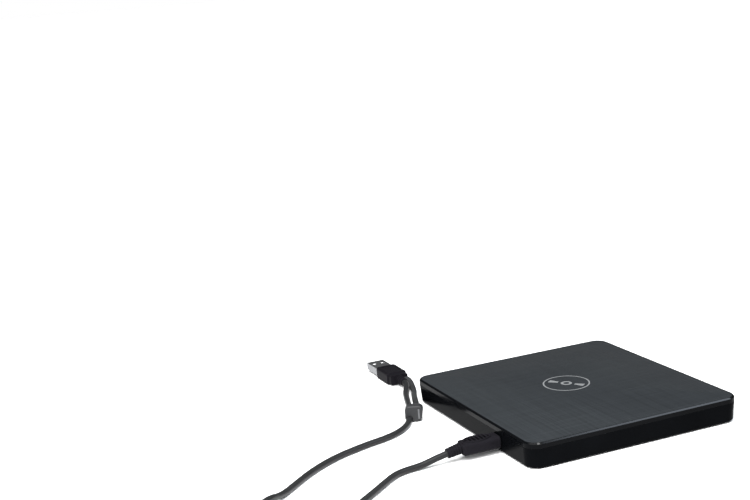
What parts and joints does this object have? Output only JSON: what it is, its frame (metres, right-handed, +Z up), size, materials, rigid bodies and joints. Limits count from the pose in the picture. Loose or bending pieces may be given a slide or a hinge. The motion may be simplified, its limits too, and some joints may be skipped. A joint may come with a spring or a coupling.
{
  "type": "external optical drive",
  "caption": "Slim external disc drive with a sliding loading tray, spindle hub, laser sled and a detachable coiled USB lead.",
  "frame": {"origin": "centre of the drive's footprint, on the surface its feet stand on", "axes": "+Z up, -Y towards the tray's front, +Y towards the rear face with the socket, +X to the right seen from the front"},
  "size_m": [0.2388, 0.2991, 0.0154],
  "materials": {
    "gloss_black": "high gloss moulded shell",
    "satin_black": "satin moulded rim",
    "brushed_plate": "fine cross-brushed blue-grey plate",
    "silver_print": "satin silver inlay",
    "rubber_black": "matt rubber",
    "screw_steel": "zinc plated",
    "sheet_steel": "plated sheet steel",
    "bright_steel": "ground and plated",
    "guide_ivory": "natural acetal",
    "board_green": "solder mask",
    "chip_black": "moulded package",
    "flex_amber": "polyimide flex",
    "tray_grey": "fine spark texture",
    "bezel_black": "gloss moulded front",
    "led_green": "translucent light pipe",
    "coil_copper": "taped winding",
    "lens_glass": "coated moulded lens",
    "holder_black": "liquid crystal polymer",
    "sled_metal": "die cast zinc",
    "plug_black": "satin overmould",
    "cord_black": "flexible sheath",
    "tongue_white": "moulded contact carrier",
    "clip_grey": "soft grey clip"
  },
  "bodies": {
    "casing": {"top_cover": "satin_black", "top_plate": "brushed_plate", "emblem": "silver_print", "bottom_cover": "gloss_black", "feet": "rubber_black", "casing_screws": "screw_steel", "base_pan": "sheet_steel", "drive_lid": "sheet_steel", "chassis_screws": "screw_steel", "rail_guides": "guide_ivory", "main_board": "board_green", "main_board_chips": "chip_black", "flex_cable": "flex_amber", "drive_connector": "chip_black", "bridge_board": "board_green", "bridge_chips": "chip_black", "usb_socket": "bright_steel", "latch_post": "bright_steel"},
    "tray": {"tray": "tray_grey", "bezel": "bezel_black", "tray_undercover": "sheet_steel", "led_lens": "led_green", "tray_board": "board_green", "eject_switch": "screw_steel", "latch_solenoid": "coil_copper", "traverse_frame": "sheet_steel", "dampers": "rubber_black", "damper_screws": "screw_steel", "guide_rods": "bright_steel", "pickup_cover": "sheet_steel", "pickup_flex": "flex_amber", "spindle_motor": "screw_steel", "sled_motor": "screw_steel"},
    "left_rail": {"left_rail": "bright_steel"},
    "right_rail": {"right_rail": "bright_steel"},
    "eject_button": {"eject_button": "bezel_black"},
    "latch_lever": {"latch_lever": "guide_ivory"},
    "turntable": {"turntable": "sled_metal", "turntable_ring": "rubber_black"},
    "claw_1": {"claw_1": "guide_ivory"},
    "claw_2": {"claw_2": "guide_ivory"},
    "claw_3": {"claw_3": "guide_ivory"},
    "lead_screw": {"lead_screw": "bright_steel"},
    "sled": {"sled": "sled_metal", "sled_nut": "guide_ivory"},
    "lens_holder": {"lens_holder": "holder_black", "lens": "lens_glass"},
    "lead": {"mini_plug_shell": "bright_steel", "mini_plug_body": "plug_black", "mini_plug_relief": "plug_black", "cord_near": "cord_black", "cord_coil": "cord_black", "coil_tie": "rubber_black", "cord_far": "cord_black", "usb_plug_relief": "plug_black", "usb_plug_body": "plug_black", "usb_plug_shell": "bright_steel", "usb_plug_tongue": "tongue_white", "cord_strap": "cord_black", "strap_clip": "clip_grey"}
  },
  "joints": [
    {"name": "tray_slide", "type": "slide", "parent": "casing", "child": "tray", "axis": [0, -1, 0], "range_m": [0, 0.125]},
    {"name": "left_rail_slide", "type": "slide", "parent": "casing", "child": "left_rail", "axis": [0, -1, 0], "range_m": [0, 0.0625]},
    {"name": "right_rail_slide", "type": "slide", "parent": "casing", "child": "right_rail", "axis": [0, -1, 0], "range_m": [0, 0.0625]},
    {"name": "eject_button_press", "type": "slide", "parent": "tray", "child": "eject_button", "axis": [0, 1, 0], "range_m": [0, 0.0006], "stiffness_N_per_m": 400},
    {"name": "latch_turn", "type": "hinge", "parent": "tray", "child": "latch_lever", "pos_m": [0.051, -0.04405, 0.0059], "axis": [0, 0, 1], "range_deg": [-20, 0]},
    {"name": "spindle_spin", "type": "hinge", "parent": "tray", "child": "turntable", "pos_m": [0, -0.00375, 0.008], "axis": [0, 0, 1], "continuous": true},
    {"name": "sled_slide", "type": "slide", "parent": "tray", "child": "sled", "axis": [-0.7071, -0.7071, 0], "range_m": [0, 0.034]},
    {"name": "lead_screw_spin", "type": "hinge", "parent": "tray", "child": "lead_screw", "pos_m": [-0.03253, -0.01365, 0.0067], "axis": [-0.7071, -0.7071, 0], "range_deg": [0, 4081]},
    {"name": "lens_lift", "type": "slide", "parent": "sled", "child": "lens_holder", "axis": [0, 0, 1], "range_m": [-0.0004, 0.0004], "stiffness_N_per_m": 100},
    {"name": "lead_unplug", "type": "slide", "parent": "casing", "child": "lead", "axis": [0, 1, 0], "range_m": [0, 0.012]},
    {"name": "claw_1_press", "type": "slide", "parent": "turntable", "child": "claw_1", "axis": [-1, 0, 0], "range_m": [0, 0.0004], "stiffness_N_per_m": 150},
    {"name": "claw_2_press", "type": "slide", "parent": "turntable", "child": "claw_2", "axis": [0.5, -0.866, 0], "range_m": [0, 0.0004], "stiffness_N_per_m": 150},
    {"name": "claw_3_press", "type": "slide", "parent": "turntable", "child": "claw_3", "axis": [0.5, 0.866, 0], "range_m": [0, 0.0004], "stiffness_N_per_m": 150}
  ],
  "couplings": [
    {"joint": "left_rail_slide", "follows": "tray_slide", "ratio": 0.5},
    {"joint": "right_rail_slide", "follows": "tray_slide", "ratio": 0.5},
    {"joint": "lead_screw_spin", "follows": "sled_slide", "rad_per_m": 2094.4}
  ]
}
